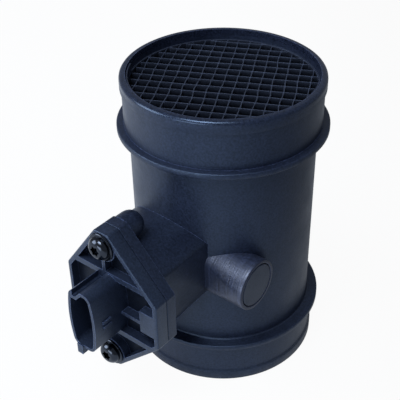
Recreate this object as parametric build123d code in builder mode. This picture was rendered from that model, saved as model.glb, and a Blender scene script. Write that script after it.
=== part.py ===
from build123d import *
from math import cos, radians, sin
import os

os.makedirs("parts", exist_ok=True)

# Mass airflow sensor: a flow tube standing on its outlet rim, inlet up (+Z),
# with the sensor insert plugged into a neck on the -Y side. Millimetres.

# tube
tube_length = 130.0
tube_radius = 38.1
tube_wall = 2.4
collar_step = 1.9
bead_step = 0.7
bead_height = 5.0
lip_round = 1.5
lip_steps = 4
outlet_chamfer = 0.9
ring_step = 2.9
ring_thickness = 2.6
ring_chamfer = 0.5
ring_root_chamfer = 0.8
ring_low_base = 20.0
ring_to_seat = 9.2
outlet_lead_width = 1.7
outlet_lead_depth = 3.0
seat_width = 2.4
seat_depth = 14.0

# sensor neck and flange
screw_x = -2.2
screw_upper_z = 85.8
screw_lower_z = 32.4
apex_half_width = 2.7
apex_rise = 4.8
hex_left_x = -22.6
hex_right_x = 23.2
hex_top_z = 68.2
hex_bottom_z = 48.6
hex_corner_radius = 1.5
flange_thickness = 4.7
plate_thickness = 6.0
seam_chamfer = 0.35
plate_chamfer = 0.5
neck_left_x = -21.0
neck_right_x = 18.0
neck_low_z = 50.0
neck_high_z = 73.5
neck_arch_z = 81.2
neck_foot_radius = 7.0
pillar_radius = 5.5
pillar_rise = 1.2
pillar_length = 4.6

# side boss and its plug
boss_radius = 10.8
boss_root_half_width = 7.6
boss_root_half_height = 10.2
boss_root_depth = 3.0
boss_side_reach = 10.9
boss_z = 58.3
boss_end_inset = 0.4
boss_rim = 1.6
boss_recess_depth = 2.5
plug_clearance = 0.15
plug_sink = 0.1
plug_chamfer = 0.25

# sensor insert
insert_x = -2.0
insert_z = 58.5
insert_width = 26.0
insert_height = 29.0
insert_corner = 3.0
insert_clearance = 0.2
insert_end_inset = 0.1
seal_setback = 5.6
seal_gap = 0.4
seal_groove_length = 2.4
seal_length = 2.0
seal_depth = 1.5
chamber_width = 18.0
chamber_height = 22.0
chamber_depth = 10.0
chamber_wall = 0.5
ledge_width = 1.0

# plate front
frame_width = 1.9
pocket_depth = 3.6
rib_width = 2.4
rib_middle_width = 1.4
rib_upright_width = 1.6
rib_upper_z = 73.2
rib_middle_z = 57.2
rib_lower_z = 45.8
pad_width = 6.8
pad_height = 10.4
pad_x = 17.9
pad_z = 58.0
boss_ring_radius = 6.4

# connector shroud
shroud_x = -1.4
shroud_z = 59.6
shroud_half_width = 6.7
shroud_end_half_width = 5.0
shroud_half_height = 14.0
shroud_corner = 3.6
shroud_wall = 1.2
shroud_reach = 14.4
socket_floor_depth = 2.5
groove_left_x = -5.2
groove_floor_width = 1.4
groove_mouth_width = 4.2
groove_drop = 3.1
groove_corner = 0.5
nose_x = -3.7
nose_width = 2.7
nose_drop = 3.3
nose_length = 3.4
nose_overhang = 0.7
detent_width = 1.1
detent_length = 4.0
detent_gap = 1.1
detent_z = 58.3
detent_setback = 6.1
detent_proud = 0.6

# terminals
terminal_count = 4
terminal_pitch = 5.0
terminal_thickness = 0.8
terminal_width = 2.8
terminal_root = 8.1
terminal_reach = 12.2
terminal_chamfer = 0.3
terminal_clearance = 0.05

# screws, washers, inserts
shank_radius = 2.0
shank_clearance = 0.25
shank_length = 15.0
head_radius = 4.7
head_rim_height = 1.5
head_crown_height = 1.7
head_crown_taper = 50.0
recess_radius = 1.5
recess_depth = 1.6
washer_radius = 5.8
washer_thickness = 1.0
washer_clearance = 0.1
washer_chamfer = 0.3
thread_insert_radius = 3.0
thread_insert_length = 9.0

# flow straightener
grid_row_pitch = 5.08
grid_column_pitch = 4.82
grid_wall = 0.6
grid_angle = 27.0
grid_clearance = 0.1
grid_frame_width = 0.6
grid_frame_height = 9.4
grid_depth = 9.2
retainer_width = 0.9
retainer_height = 4.0
retainer_chamfer = 0.3
retainer_angle = 27.0

# measuring probe
arm_thickness = 7.0
arm_height = 18.0
arm_x = -2.0
duct_outer = 11.0
duct_mouth = 8.5
duct_throat = 6.5
duct_low = 48.0
duct_high = 70.0
duct_taper_height = 5.0
element_thickness = 0.6
element_height = 8.0
element_root = 8.5
element_length = 10.5
element_clearance = 0.05
bead_sensor_radius = 0.6
bead_sensor_length = 6.0
bead_sensor_chamfer = 0.2
bead_sensor_z = 52.2
board_thickness = 1.0
board_margin = 0.5
chip_size = 5.0
cover_thickness = 1.2
cover_clearance = 0.1
heat_sink_depth = 2.0
heat_sink_clearance = 0.1
sink_groove_pitch = 5.0
sink_groove_width = 2.0
sink_groove_depth = 0.9

# sizes that follow from the ones above, flange distances outward along -Y
bore_radius = tube_radius - tube_wall
collar_radius = tube_radius + collar_step
bead_radius = collar_radius + bead_step
ring_radius = collar_radius + ring_step
seat_radius = bore_radius + seat_width
inlet_seat_height = tube_length - seat_depth
bead_top = tube_length - bead_height
ring_low_top = ring_low_base + ring_thickness
ring_high_base = inlet_seat_height - ring_to_seat
ring_high_top = ring_high_base + ring_thickness
neck_root = tube_radius / 2
insert_end = tube_radius - insert_end_inset
chamber_back = insert_end + chamber_wall + ledge_width
chamber_y = -chamber_back - chamber_width / 2
seal_back = chamber_back + chamber_width + ledge_width + seal_gap
flange_front = seal_back + seal_setback
flange_back = flange_front - flange_thickness
plate_front = flange_front + plate_thickness
boss_y = boss_side_reach - tube_radius
boss_end_x = tube_radius - boss_end_inset
boss_root_x = neck_right_x - boss_root_depth
boss_recess_radius = boss_radius - boss_rim
socket_floor = plate_front - socket_floor_depth
shroud_front = plate_front + shroud_reach
terminal_back = socket_floor - terminal_root
head_n = plate_front + washer_thickness
grid_frame_outer = seat_radius - grid_clearance
grid_frame_inner = grid_frame_outer - grid_frame_width
element_tip = element_root - element_length
duct_middle = (duct_low + duct_high) / 2
chamber_left_x = insert_x - insert_width / 2
chamber_right_x = insert_x + insert_width / 2
board_front_x = chamber_left_x + chamber_depth - board_thickness
screw_points = ((screw_x, screw_upper_z), (screw_x, screw_lower_z))
outline_points = (
    (screw_x - apex_half_width, screw_upper_z + apex_rise),
    (screw_x + apex_half_width, screw_upper_z + apex_rise),
    (screw_x - apex_half_width, screw_lower_z - apex_rise),
    (screw_x + apex_half_width, screw_lower_z - apex_rise),
    (hex_left_x + hex_corner_radius, hex_top_z),
    (hex_left_x + hex_corner_radius, hex_bottom_z),
    (hex_right_x - hex_corner_radius, hex_top_z),
    (hex_right_x - hex_corner_radius, hex_bottom_z),
)


def facing_out(distance):
    # plane at a distance from the tube axis, facing outward along -Y
    return Plane(origin=(0, -distance, 0), x_dir=(1, 0, 0), z_dir=(0, -1, 0))


def facing_side(position):
    # plane at a position along +X, facing +X, local axes Y and Z
    return Plane(origin=(position, 0, 0), x_dir=(0, 1, 0), z_dir=(1, 0, 0))


# outer edge of the inlet lip, rounded in a few steps
lip_turns = [radians(90 * step / lip_steps) for step in range(lip_steps + 1)]
lip_centre = (bead_radius - lip_round, tube_length - lip_round)
lip_points = [(lip_centre[0] + lip_round * cos(t), lip_centre[1] + lip_round * sin(t)) for t in lip_turns]

# housing: tube, collars, rings, neck, mating flange, screw pillar, side boss
with BuildPart() as housing:
    with BuildSketch(Plane.XZ) as tube_profile:
        with BuildLine() as tube_outline:
            Polyline(
                (0, 0),
                (bead_radius, 0),
                (bead_radius, bead_height),
                (collar_radius, bead_height + bead_step),
                (collar_radius, ring_low_base),
                (ring_radius, ring_low_base),
                (ring_radius, ring_low_top),
                (tube_radius, ring_low_top),
                (tube_radius, ring_high_base),
                (ring_radius, ring_high_base),
                (ring_radius, ring_high_top),
                (collar_radius, ring_high_top),
                (collar_radius, bead_top - bead_step),
                (bead_radius, bead_top),
                *lip_points,
                (0, tube_length),
                close=True,
            )
        make_face()
    revolve(axis=Axis.Z)
    # eased outlet lip, rings and ring roots
    chamfer(housing.edges().group_by(Axis.Z)[0], outlet_chamfer)
    ring_edges = housing.edges().filter_by(GeomType.CIRCLE)
    chamfer(ring_edges.filter_by(lambda edge: abs(edge.radius - ring_radius) < 0.01), ring_chamfer)
    root_edges = housing.edges().filter_by(GeomType.CIRCLE)
    chamfer(root_edges.filter_by(lambda edge: abs(edge.radius - tube_radius) < 0.01), ring_root_chamfer)
    # neck: flat sides, arched roof, foot wrapped round the lower screw
    with BuildSketch(facing_out(neck_root)) as neck_section:
        with Locations((screw_x, screw_lower_z)):
            Circle(neck_foot_radius)
        with Locations(((neck_left_x + neck_right_x) / 2, (neck_low_z + neck_high_z) / 2)):
            Rectangle(neck_right_x - neck_left_x, neck_high_z - neck_low_z)
        make_hull()
        with BuildLine() as neck_roof:
            ThreePointArc(
                (neck_left_x, neck_high_z),
                ((neck_left_x + neck_right_x) / 2, neck_arch_z),
                (neck_right_x, neck_high_z),
            )
            Line((neck_right_x, neck_high_z), (neck_left_x, neck_high_z))
        make_face()
    extrude(amount=flange_back - neck_root)
    # mating flange
    with BuildSketch(facing_out(flange_back)) as flange_section:
        with Locations(*outline_points):
            Circle(hex_corner_radius)
        make_hull()
    extrude(amount=flange_thickness)
    chamfer(housing.faces().sort_by(Axis.Y)[0].edges(), seam_chamfer)
    # pillar with a domed end behind the upper screw, on a web from the neck roof
    with BuildSketch(facing_out(flange_back - pillar_length)) as pillar_section:
        with Locations((screw_x, screw_upper_z + pillar_rise)):
            Circle(pillar_radius)
        with Locations((screw_x, (neck_high_z + screw_upper_z) / 2)):
            Rectangle(pillar_radius, screw_upper_z - neck_high_z)
    extrude(amount=pillar_length)
    with Locations((screw_x, pillar_length - flange_back, screw_upper_z + pillar_rise)):
        Sphere(pillar_radius)
    # side boss, oval where it leaves the neck and round at its end
    with BuildSketch(facing_side(boss_root_x)) as boss_root:
        with Locations((boss_y, boss_z)):
            Ellipse(boss_root_half_width, boss_root_half_height)
    with BuildSketch(facing_side(boss_end_x)) as boss_tip:
        with Locations((boss_y, boss_z)):
            Circle(boss_radius)
    loft(sections=[boss_root.sketch, boss_tip.sketch])
    with BuildSketch(facing_side(boss_end_x)) as boss_recess:
        with Locations((boss_y, boss_z)):
            Circle(boss_recess_radius)
    extrude(amount=-boss_recess_depth, mode=Mode.SUBTRACT)
    # flow bore with a lead at the outlet and a seat for the straightener
    with BuildSketch(Plane.XZ) as bore_profile:
        with BuildLine() as bore_outline:
            Polyline(
                (0, 0),
                (bore_radius + outlet_lead_width, 0),
                (bore_radius, outlet_lead_depth),
                (bore_radius, inlet_seat_height),
                (seat_radius, inlet_seat_height),
                (seat_radius, tube_length),
                (0, tube_length),
                close=True,
            )
        make_face()
    revolve(axis=Axis.Z, mode=Mode.SUBTRACT)
    # socket for the sensor insert, open to the bore
    with BuildSketch(facing_out(neck_root)) as insert_socket:
        with Locations((insert_x, insert_z)):
            RectangleRounded(
                insert_width + 2 * insert_clearance,
                insert_height + 2 * insert_clearance,
                insert_corner + insert_clearance,
            )
    extrude(amount=flange_front - neck_root, mode=Mode.SUBTRACT)
    # seats for the threaded inserts
    with BuildSketch(facing_out(flange_front)) as insert_seats:
        with Locations(*screw_points):
            Circle(thread_insert_radius)
    extrude(amount=-thread_insert_length, mode=Mode.SUBTRACT)
housing.part.label = "housing"
export_step(housing.part, "parts/housing.step")

# flow straightener: framed lattice of thin plates
with BuildPart() as flow_grid:
    with BuildSketch(Plane.XY.offset(inlet_seat_height)) as grid_frame:
        Circle(grid_frame_outer)
        Circle(grid_frame_inner, mode=Mode.SUBTRACT)
    extrude(amount=grid_frame_height)
    with BuildSketch(Plane.XY.offset(inlet_seat_height)) as grid_lattice:
        for pitch, turn in ((grid_row_pitch, 0), (grid_column_pitch, 90)):
            line_count = int(grid_frame_inner / pitch)
            for index in range(-line_count, line_count + 1):
                line_offset = index * pitch
                half_chord = ((grid_frame_inner + grid_wall / 2) ** 2 - line_offset ** 2) ** 0.5
                turned = Location((0, 0, 0), (0, 0, grid_angle + turn))
                with Locations(turned * Location((0, line_offset, 0))):
                    Rectangle(2 * half_chord, grid_wall)
    extrude(amount=grid_depth)
flow_grid.part.label = "flow_grid"
export_step(flow_grid.part, "parts/flow_grid.step")

# half-round strip that holds the straightener down
with BuildPart() as grid_retainer:
    with BuildSketch(Plane.XY.offset(inlet_seat_height + grid_frame_height)) as retainer_section:
        Circle(grid_frame_outer)
        Circle(grid_frame_outer - retainer_width, mode=Mode.SUBTRACT)
        with Locations(Location((0, 0, 0), (0, 0, retainer_angle)) * Location((0, seat_radius, 0))):
            Rectangle(3 * seat_radius, 2 * seat_radius, mode=Mode.SUBTRACT)
    extrude(amount=retainer_height)
    top_edges = grid_retainer.edges().group_by(Axis.Z)[-1].filter_by(GeomType.CIRCLE)
    chamfer(top_edges, retainer_chamfer)
grid_retainer.part.label = "grid_retainer"
export_step(grid_retainer.part, "parts/grid_retainer.step")

# disc pressed into the side boss
with BuildPart() as side_plug:
    with BuildSketch(facing_side(boss_end_x - boss_recess_depth)) as side_plug_section:
        with Locations((boss_y, boss_z)):
            Circle(boss_recess_radius - plug_clearance)
    extrude(amount=boss_recess_depth - plug_sink)
    chamfer(side_plug.edges().group_by(Axis.X)[-1], plug_chamfer)
side_plug.part.label = "side_plug"
export_step(side_plug.part, "parts/side_plug.step")

# connector flange: ribbed plate, shroud and plug body in one moulding
with BuildPart() as connector_flange:
    with BuildSketch(facing_out(flange_front)) as plate_section:
        with Locations(*outline_points):
            Circle(hex_corner_radius)
        make_hull()
    extrude(amount=plate_thickness)
    chamfer(connector_flange.faces().sort_by(Axis.Y)[-1].edges(), seam_chamfer)
    chamfer(connector_flange.faces().sort_by(Axis.Y)[0].edges(), plate_chamfer)
    # pockets between the frame, the ribs, the screw bosses and the pad
    with BuildSketch(facing_out(plate_front)) as pocket_section:
        with Locations(*outline_points):
            Circle(hex_corner_radius)
        make_hull()
        offset(amount=-frame_width, mode=Mode.REPLACE)
        with Locations(*screw_points):
            Circle(boss_ring_radius, mode=Mode.SUBTRACT)
        with Locations((0, rib_upper_z), (0, rib_lower_z)):
            Rectangle(2 * (hex_right_x - hex_left_x), rib_width, mode=Mode.SUBTRACT)
        with Locations(((shroud_x + hex_right_x) / 2, rib_middle_z)):
            Rectangle(hex_right_x - shroud_x, rib_middle_width, mode=Mode.SUBTRACT)
        with Locations((screw_x, (rib_upper_z + screw_upper_z) / 2)):
            Rectangle(rib_upright_width, screw_upper_z - rib_upper_z, mode=Mode.SUBTRACT)
        with Locations((pad_x, pad_z)):
            Rectangle(pad_width, pad_height, mode=Mode.SUBTRACT)
    extrude(amount=-pocket_depth, mode=Mode.SUBTRACT)
    # shroud with bowed sides
    end_left_x = shroud_x - shroud_end_half_width
    end_right_x = shroud_x + shroud_end_half_width
    shroud_bottom = shroud_z - shroud_half_height
    shroud_top = shroud_z + shroud_half_height
    with BuildSketch(facing_out(plate_front - pocket_depth)) as shroud_section:
        with BuildLine() as shroud_outline:
            ThreePointArc(
                (end_left_x, shroud_bottom),
                (shroud_x - shroud_half_width, shroud_z),
                (end_left_x, shroud_top),
            )
            Line((end_left_x, shroud_top), (end_right_x, shroud_top))
            ThreePointArc(
                (end_right_x, shroud_top),
                (shroud_x + shroud_half_width, shroud_z),
                (end_right_x, shroud_bottom),
            )
            Line((end_right_x, shroud_bottom), (end_left_x, shroud_bottom))
        make_face()
        fillet(shroud_section.vertices(), shroud_corner)
    extrude(amount=shroud_reach + pocket_depth)
    with BuildSketch(facing_out(shroud_front)) as socket_section:
        add(shroud_section.sketch_local)
        offset(amount=-shroud_wall, mode=Mode.REPLACE)
    extrude(amount=socket_floor - shroud_front, mode=Mode.SUBTRACT)
    # coding groove: the top wall dips inward round it
    groove_floor = shroud_top - groove_drop
    groove_points = (
        (groove_left_x, shroud_top),
        (groove_left_x, groove_floor),
        (groove_left_x + groove_floor_width, groove_floor),
        (groove_left_x + groove_mouth_width, shroud_top),
    )
    with BuildSketch(facing_out(socket_floor)) as channel_section:
        Polygon(*groove_points, align=None)
        offset(amount=shroud_wall)
        add(shroud_section.sketch_local, mode=Mode.INTERSECT)
    extrude(amount=shroud_front - socket_floor)
    with BuildSketch(facing_out(plate_front)) as groove_section:
        Polygon(*groove_points, align=None)
        fillet(groove_section.vertices().group_by(Axis.Y)[0], groove_corner)
    extrude(amount=shroud_reach, mode=Mode.SUBTRACT)
    # latch nose under the mouth
    with BuildSketch(facing_out(shroud_front - nose_length)) as nose_section:
        with Locations((nose_x, shroud_bottom - (nose_drop - shroud_wall) / 2)):
            Rectangle(nose_width, nose_drop + shroud_wall)
    extrude(amount=nose_length + nose_overhang)
    # detent ribs on the side wall
    with BuildSketch(facing_side(shroud_x + shroud_half_width - shroud_wall / 2)) as detent_section:
        for detent_side in (-1, 1):
            with Locations((detent_setback - shroud_front, detent_z + detent_side * detent_gap)):
                Rectangle(detent_length, detent_width)
    extrude(amount=shroud_wall / 2 + detent_proud)
    # plug body reaching through the neck
    with BuildSketch(facing_out(insert_end)) as insert_section:
        with Locations((insert_x, insert_z)):
            RectangleRounded(insert_width, insert_height, insert_corner)
    extrude(amount=flange_front - insert_end)
    # groove for the seal
    with BuildSketch(facing_out(seal_back)) as groove_section:
        with Locations((insert_x, insert_z)):
            RectangleRounded(
                insert_width + seal_depth,
                insert_height + seal_depth,
                insert_corner + seal_depth / 2,
            )
            RectangleRounded(
                insert_width - 2 * seal_depth,
                insert_height - 2 * seal_depth,
                insert_corner - seal_depth,
                mode=Mode.SUBTRACT,
            )
    extrude(amount=seal_groove_length, mode=Mode.SUBTRACT)
    # electronics chamber on the left side, with a ledge for the cover
    with BuildSketch(facing_side(chamber_left_x)) as chamber_section:
        with Locations((chamber_y, insert_z)):
            Rectangle(chamber_width, chamber_height)
    extrude(amount=chamber_depth, mode=Mode.SUBTRACT)
    with BuildSketch(facing_side(chamber_left_x)) as ledge_section:
        with Locations((chamber_y, insert_z)):
            Rectangle(chamber_width + 2 * ledge_width, chamber_height + 2 * ledge_width)
    extrude(amount=cover_thickness, mode=Mode.SUBTRACT)
    # heat sink recess on the right side
    with BuildSketch(facing_side(chamber_right_x)) as sink_section:
        with Locations((chamber_y, insert_z)):
            Rectangle(chamber_width, chamber_height)
    extrude(amount=-heat_sink_depth, mode=Mode.SUBTRACT)
    # slots for the terminals
    with BuildSketch(facing_out(terminal_back)) as slot_section:
        for index in range(terminal_count):
            slot_z = shroud_z + (index - (terminal_count - 1) / 2) * terminal_pitch
            with Locations((shroud_x, slot_z)):
                Rectangle(
                    terminal_thickness + 2 * terminal_clearance,
                    terminal_width + 2 * terminal_clearance,
                )
    extrude(amount=terminal_root, mode=Mode.SUBTRACT)
    # screw holes
    with BuildSketch(facing_out(flange_front)) as hole_section:
        with Locations(*screw_points):
            Circle(shank_radius + shank_clearance)
    extrude(amount=plate_thickness, mode=Mode.SUBTRACT)
connector_flange.part.label = "connector_flange"
export_step(connector_flange.part, "parts/connector_flange.step")

# terminals
for index in range(terminal_count):
    blade_z = shroud_z + (index - (terminal_count - 1) / 2) * terminal_pitch
    with BuildPart() as terminal:
        with BuildSketch(facing_out(terminal_back)) as blade_section:
            with Locations((shroud_x, blade_z)):
                Rectangle(terminal_thickness, terminal_width)
        extrude(amount=terminal_root + terminal_reach)
        chamfer(terminal.edges().group_by(Axis.Y)[0], terminal_chamfer)
    terminal.part.label = f"terminal_{index + 1}"
    export_step(terminal.part, f"parts/terminal_{index + 1}.step")

# flange screws: shank, flat rim, tapered crown, round drive recess
with BuildPart() as flange_screws:
    with BuildSketch(facing_out(head_n - shank_length)) as shank_section:
        with Locations(*screw_points):
            Circle(shank_radius)
    extrude(amount=shank_length)
    with BuildSketch(facing_out(head_n)) as rim_section:
        with Locations(*screw_points):
            Circle(head_radius)
    extrude(amount=head_rim_height)
    with BuildSketch(facing_out(head_n + head_rim_height)) as crown_section:
        with Locations(*screw_points):
            Circle(head_radius)
    extrude(amount=head_crown_height, taper=head_crown_taper)
    with BuildSketch(facing_out(head_n + head_rim_height + head_crown_height)) as recess_section:
        with Locations(*screw_points):
            Circle(recess_radius)
    extrude(amount=-recess_depth, mode=Mode.SUBTRACT)
flange_screws.part.label = "flange_screws"
export_step(flange_screws.part, "parts/flange_screws.step")

# captive washers
with BuildPart() as screw_washers:
    with BuildSketch(facing_out(plate_front)) as washer_section:
        with Locations(*screw_points):
            Circle(washer_radius)
            Circle(shank_radius + washer_clearance, mode=Mode.SUBTRACT)
    extrude(amount=washer_thickness)
    front_edges = screw_washers.edges().group_by(Axis.Y)[0]
    chamfer(front_edges.filter_by(lambda edge: edge.radius > head_radius), washer_chamfer)
screw_washers.part.label = "screw_washers"
export_step(screw_washers.part, "parts/screw_washers.step")

# threaded inserts moulded into the housing
with BuildPart() as threaded_inserts:
    with BuildSketch(facing_out(flange_front)) as thread_section:
        with Locations(*screw_points):
            Circle(thread_insert_radius)
            Circle(shank_radius, mode=Mode.SUBTRACT)
    extrude(amount=-thread_insert_length)
threaded_inserts.part.label = "threaded_inserts"
export_step(threaded_inserts.part, "parts/threaded_inserts.step")

# seal round the plug body
with BuildPart() as insert_seal:
    with BuildSketch(facing_out(seal_back)) as seal_section:
        with Locations((insert_x, insert_z)):
            RectangleRounded(
                insert_width + 2 * insert_clearance,
                insert_height + 2 * insert_clearance,
                insert_corner + insert_clearance,
            )
            RectangleRounded(
                insert_width - 2 * seal_depth,
                insert_height - 2 * seal_depth,
                insert_corner - seal_depth,
                mode=Mode.SUBTRACT,
            )
    extrude(amount=seal_length)
insert_seal.part.label = "insert_seal"
export_step(insert_seal.part, "parts/insert_seal.step")

# probe arm with the measuring duct on the tube axis
with BuildPart() as probe_arm:
    with BuildSketch(facing_out(0)) as arm_section:
        with Locations((arm_x, insert_z)):
            Rectangle(arm_thickness, arm_height)
    extrude(amount=insert_end)
    with BuildSketch(Plane.XY.offset(duct_low)) as duct_section:
        Circle(duct_outer)
    extrude(amount=duct_high - duct_low)
    with BuildSketch(Plane.XZ) as throat_profile:
        with BuildLine() as throat_outline:
            Polyline(
                (0, duct_low),
                (duct_mouth, duct_low),
                (duct_throat, duct_low + duct_taper_height),
                (duct_throat, duct_high - duct_taper_height),
                (duct_mouth, duct_high),
                (0, duct_high),
                close=True,
            )
        make_face()
    revolve(axis=Axis.Z, mode=Mode.SUBTRACT)
    # slot for the sensor element and hole for the temperature sensor
    with BuildSketch(facing_out(0)) as element_slot:
        with Locations((0, duct_middle)):
            Rectangle(element_thickness + 2 * element_clearance, element_height + 2 * element_clearance)
    extrude(amount=element_root, mode=Mode.SUBTRACT)
    with BuildSketch(facing_out(0)) as bead_hole:
        with Locations((0, bead_sensor_z)):
            Circle(bead_sensor_radius + element_clearance)
    extrude(amount=element_root, mode=Mode.SUBTRACT)
probe_arm.part.label = "probe_arm"
export_step(probe_arm.part, "parts/probe_arm.step")

# hot-film element standing in the duct
with BuildPart() as sensor_element:
    with BuildSketch(facing_out(element_root - element_length)) as element_section:
        with Locations((0, duct_middle)):
            Rectangle(element_thickness, element_height)
    extrude(amount=element_length)
sensor_element.part.label = "sensor_element"
export_step(sensor_element.part, "parts/sensor_element.step")

# air temperature sensor
with BuildPart() as temperature_sensor:
    with BuildSketch(facing_out(element_root - bead_sensor_length)) as bead_section:
        with Locations((0, bead_sensor_z)):
            Circle(bead_sensor_radius)
    extrude(amount=bead_sensor_length)
    chamfer(temperature_sensor.edges().group_by(Axis.Y)[-1], bead_sensor_chamfer)
temperature_sensor.part.label = "temperature_sensor"
export_step(temperature_sensor.part, "parts/temperature_sensor.step")

# circuit board on the chamber floor
with BuildPart() as circuit_board:
    with BuildSketch(facing_side(board_front_x)) as board_section:
        with Locations((chamber_y, insert_z)):
            Rectangle(chamber_width - 2 * board_margin, chamber_height - 2 * board_margin)
    extrude(amount=board_thickness)
circuit_board.part.label = "circuit_board"
export_step(circuit_board.part, "parts/circuit_board.step")

# chips: offsets as shares of the chamber, sides and thickness in chip sizes
chip_rows = (
    (0.22, 0.25, 1.0, 1.2, 0.32),
    (-0.17, 0.16, 1.2, 1.4, 0.4),
    (0.03, -0.27, 1.6, 0.8, 0.28),
)
for index, (along, up, length, height, depth) in enumerate(chip_rows):
    with BuildPart() as board_chip:
        with BuildSketch(facing_side(board_front_x)) as chip_section:
            with Locations((chamber_y + along * chamber_width, insert_z + up * chamber_height)):
                Rectangle(length * chip_size, height * chip_size)
        extrude(amount=-depth * chip_size)
    board_chip.part.label = f"board_chip_{index + 1}"
    export_step(board_chip.part, f"parts/board_chip_{index + 1}.step")

# cover over the chamber
with BuildPart() as board_cover:
    with BuildSketch(facing_side(chamber_left_x)) as cover_section:
        with Locations((chamber_y, insert_z)):
            Rectangle(
                chamber_width + 2 * (ledge_width - cover_clearance),
                chamber_height + 2 * (ledge_width - cover_clearance),
            )
    extrude(amount=cover_thickness)
board_cover.part.label = "board_cover"
export_step(board_cover.part, "parts/board_cover.step")

# heat sink plate with three grooves
with BuildPart() as heat_sink:
    with BuildSketch(facing_side(chamber_right_x - heat_sink_depth)) as sink_plate:
        with Locations((chamber_y, insert_z)):
            Rectangle(
                chamber_width - 2 * heat_sink_clearance,
                chamber_height - 2 * heat_sink_clearance,
            )
    extrude(amount=heat_sink_depth)
    with BuildSketch(facing_side(chamber_right_x)) as sink_grooves:
        with Locations((chamber_y, insert_z)):
            with GridLocations(0, sink_groove_pitch, 1, 3):
                Rectangle(chamber_width, sink_groove_width)
    extrude(amount=-sink_groove_depth, mode=Mode.SUBTRACT)
heat_sink.part.label = "heat_sink"
export_step(heat_sink.part, "parts/heat_sink.step")
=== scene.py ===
"""Studio model of a mass airflow sensor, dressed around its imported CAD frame."""

import math

import bpy
from bpy.props import FloatProperty, FloatVectorProperty, PointerProperty
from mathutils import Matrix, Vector


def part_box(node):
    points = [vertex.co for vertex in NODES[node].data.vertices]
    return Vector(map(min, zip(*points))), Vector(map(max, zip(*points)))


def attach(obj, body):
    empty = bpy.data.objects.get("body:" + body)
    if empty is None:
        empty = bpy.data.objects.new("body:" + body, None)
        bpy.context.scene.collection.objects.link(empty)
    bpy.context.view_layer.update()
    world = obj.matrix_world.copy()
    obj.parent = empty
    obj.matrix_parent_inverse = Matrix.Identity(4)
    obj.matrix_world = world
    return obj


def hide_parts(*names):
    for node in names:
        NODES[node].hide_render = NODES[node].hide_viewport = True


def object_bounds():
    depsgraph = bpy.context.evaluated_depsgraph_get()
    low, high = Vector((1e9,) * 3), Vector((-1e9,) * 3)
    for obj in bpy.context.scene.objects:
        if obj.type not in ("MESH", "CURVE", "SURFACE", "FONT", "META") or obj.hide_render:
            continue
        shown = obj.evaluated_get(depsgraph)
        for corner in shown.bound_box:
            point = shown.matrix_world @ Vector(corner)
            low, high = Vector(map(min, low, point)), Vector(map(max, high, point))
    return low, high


bl_info = {
    "name": "Mass Airflow Sensor",
    "version": (1, 0, 0),
    "blender": (4, 5, 0),
    "location": "View3D > Sidebar > Airflow",
    "description": "Builds the looks of a moulded mass airflow sensor around its frame",
    "category": "Object",
}

MM = 0.001

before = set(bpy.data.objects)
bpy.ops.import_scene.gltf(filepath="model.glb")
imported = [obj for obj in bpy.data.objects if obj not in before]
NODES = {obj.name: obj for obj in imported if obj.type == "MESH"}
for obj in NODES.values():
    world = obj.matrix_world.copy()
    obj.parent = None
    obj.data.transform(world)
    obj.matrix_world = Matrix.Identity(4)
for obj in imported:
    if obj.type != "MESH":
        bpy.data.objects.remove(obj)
CAD_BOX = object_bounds()
GRID_LOW, GRID_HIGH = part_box("flow_grid")
SCREW_LOW, SCREW_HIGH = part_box("flange_screws")
WASHER_LOW, WASHER_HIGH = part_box("screw_washers")
PLUG_LOW, PLUG_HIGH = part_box("side_plug")

# Tints of the head-on reflection: cool on moulded skin, nearer to white where it is turned.
SATIN_TINT = (0.50, 0.68, 1.0, 1.0)
TURNED_TINT = (0.72, 0.78, 1.0, 1.0)
WHITE = (1.0, 1.0, 1.0, 1.0)
LAMP_COLOUR = (0.84, 0.92, 1.0)

# How far flow streaks stray from the moulding's colour, and how wide the painted highlight on edges is.
STREAK_SHARE = 0.2
EDGE_HIGHLIGHT_WIDTH = 0.4 * MM

WELD_DISTANCE = 0.002 * MM
SHARP_ANGLE = math.radians(50)

# The boss's skin: rings between neck and rim, and how round the rim's edges are.
BOSS_SECTIONS = 6
BOSS_EASE = 0.3 * MM

# The wander of the straightener's plates: cuts each side of the axis, their pitch, the size of the
# waves, and the gap kept to the frame's outside.
CUTS_EACH_SIDE = 9
CUT_PITCH = 4.1 * MM
WANDER_SIZE = 14 * MM
FRAME_GAP = 0.3 * MM

# The screw's head as shares of its radius and height, from the foot of the dome to the flat crown.
DOME = (
    (1.0, 0.2), (0.975, 0.33), (0.92, 0.48), (0.84, 0.62),
    (0.74, 0.74), (0.66, 0.8), (0.6, 0.83), (0.55, 0.84),
)
CROWN_SHARE = DOME[-1][1]
LOBE_WAIST = 0.66
LOBE_ROUND = 0.22 * MM

# How much of the floor's white the camera and glossy rays see, and how its card is painted into shade
# toward the camera's right: the distance, and the share that is left there.
FLOOR_SEEN = 0.95
FLOOR_MIRRORED = 0.4
FLOOR_FALL = 0.14
FLOOR_FAR_SHARE = 0.35
WORLD_STRENGTH = 0.3
WORLD_MIRRORED_EXTRA = 0.05


# ---------------------------------------------------------------- colours and nodes


def linear(hex_colour):
    """An sRGB hex colour as the linear RGBA that shaders expect."""
    channels = [int(hex_colour[i:i + 2], 16) / 255 for i in (1, 3, 5)]
    return [c / 12.92 if c <= 0.04045 else ((c + 0.055) / 1.055) ** 2.4 for c in channels] + [1.0]


def linear_rgb(hex_colour):
    """The same colour without alpha, as a colour property's default."""
    return linear(hex_colour)[:3]


def per_size(millimetres):
    """The texture scale whose features are this many millimetres across."""
    return 1 / (millimetres * MM)


def add_node(tree, kind, inputs=None, **settings):
    """Adds a node, sets its properties, and fills its inputs with values or links from sockets."""
    node = tree.nodes.new(kind)
    for name, value in settings.items():
        setattr(node, name, value)
    fill_inputs(tree, node, inputs or {})
    return node


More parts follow.
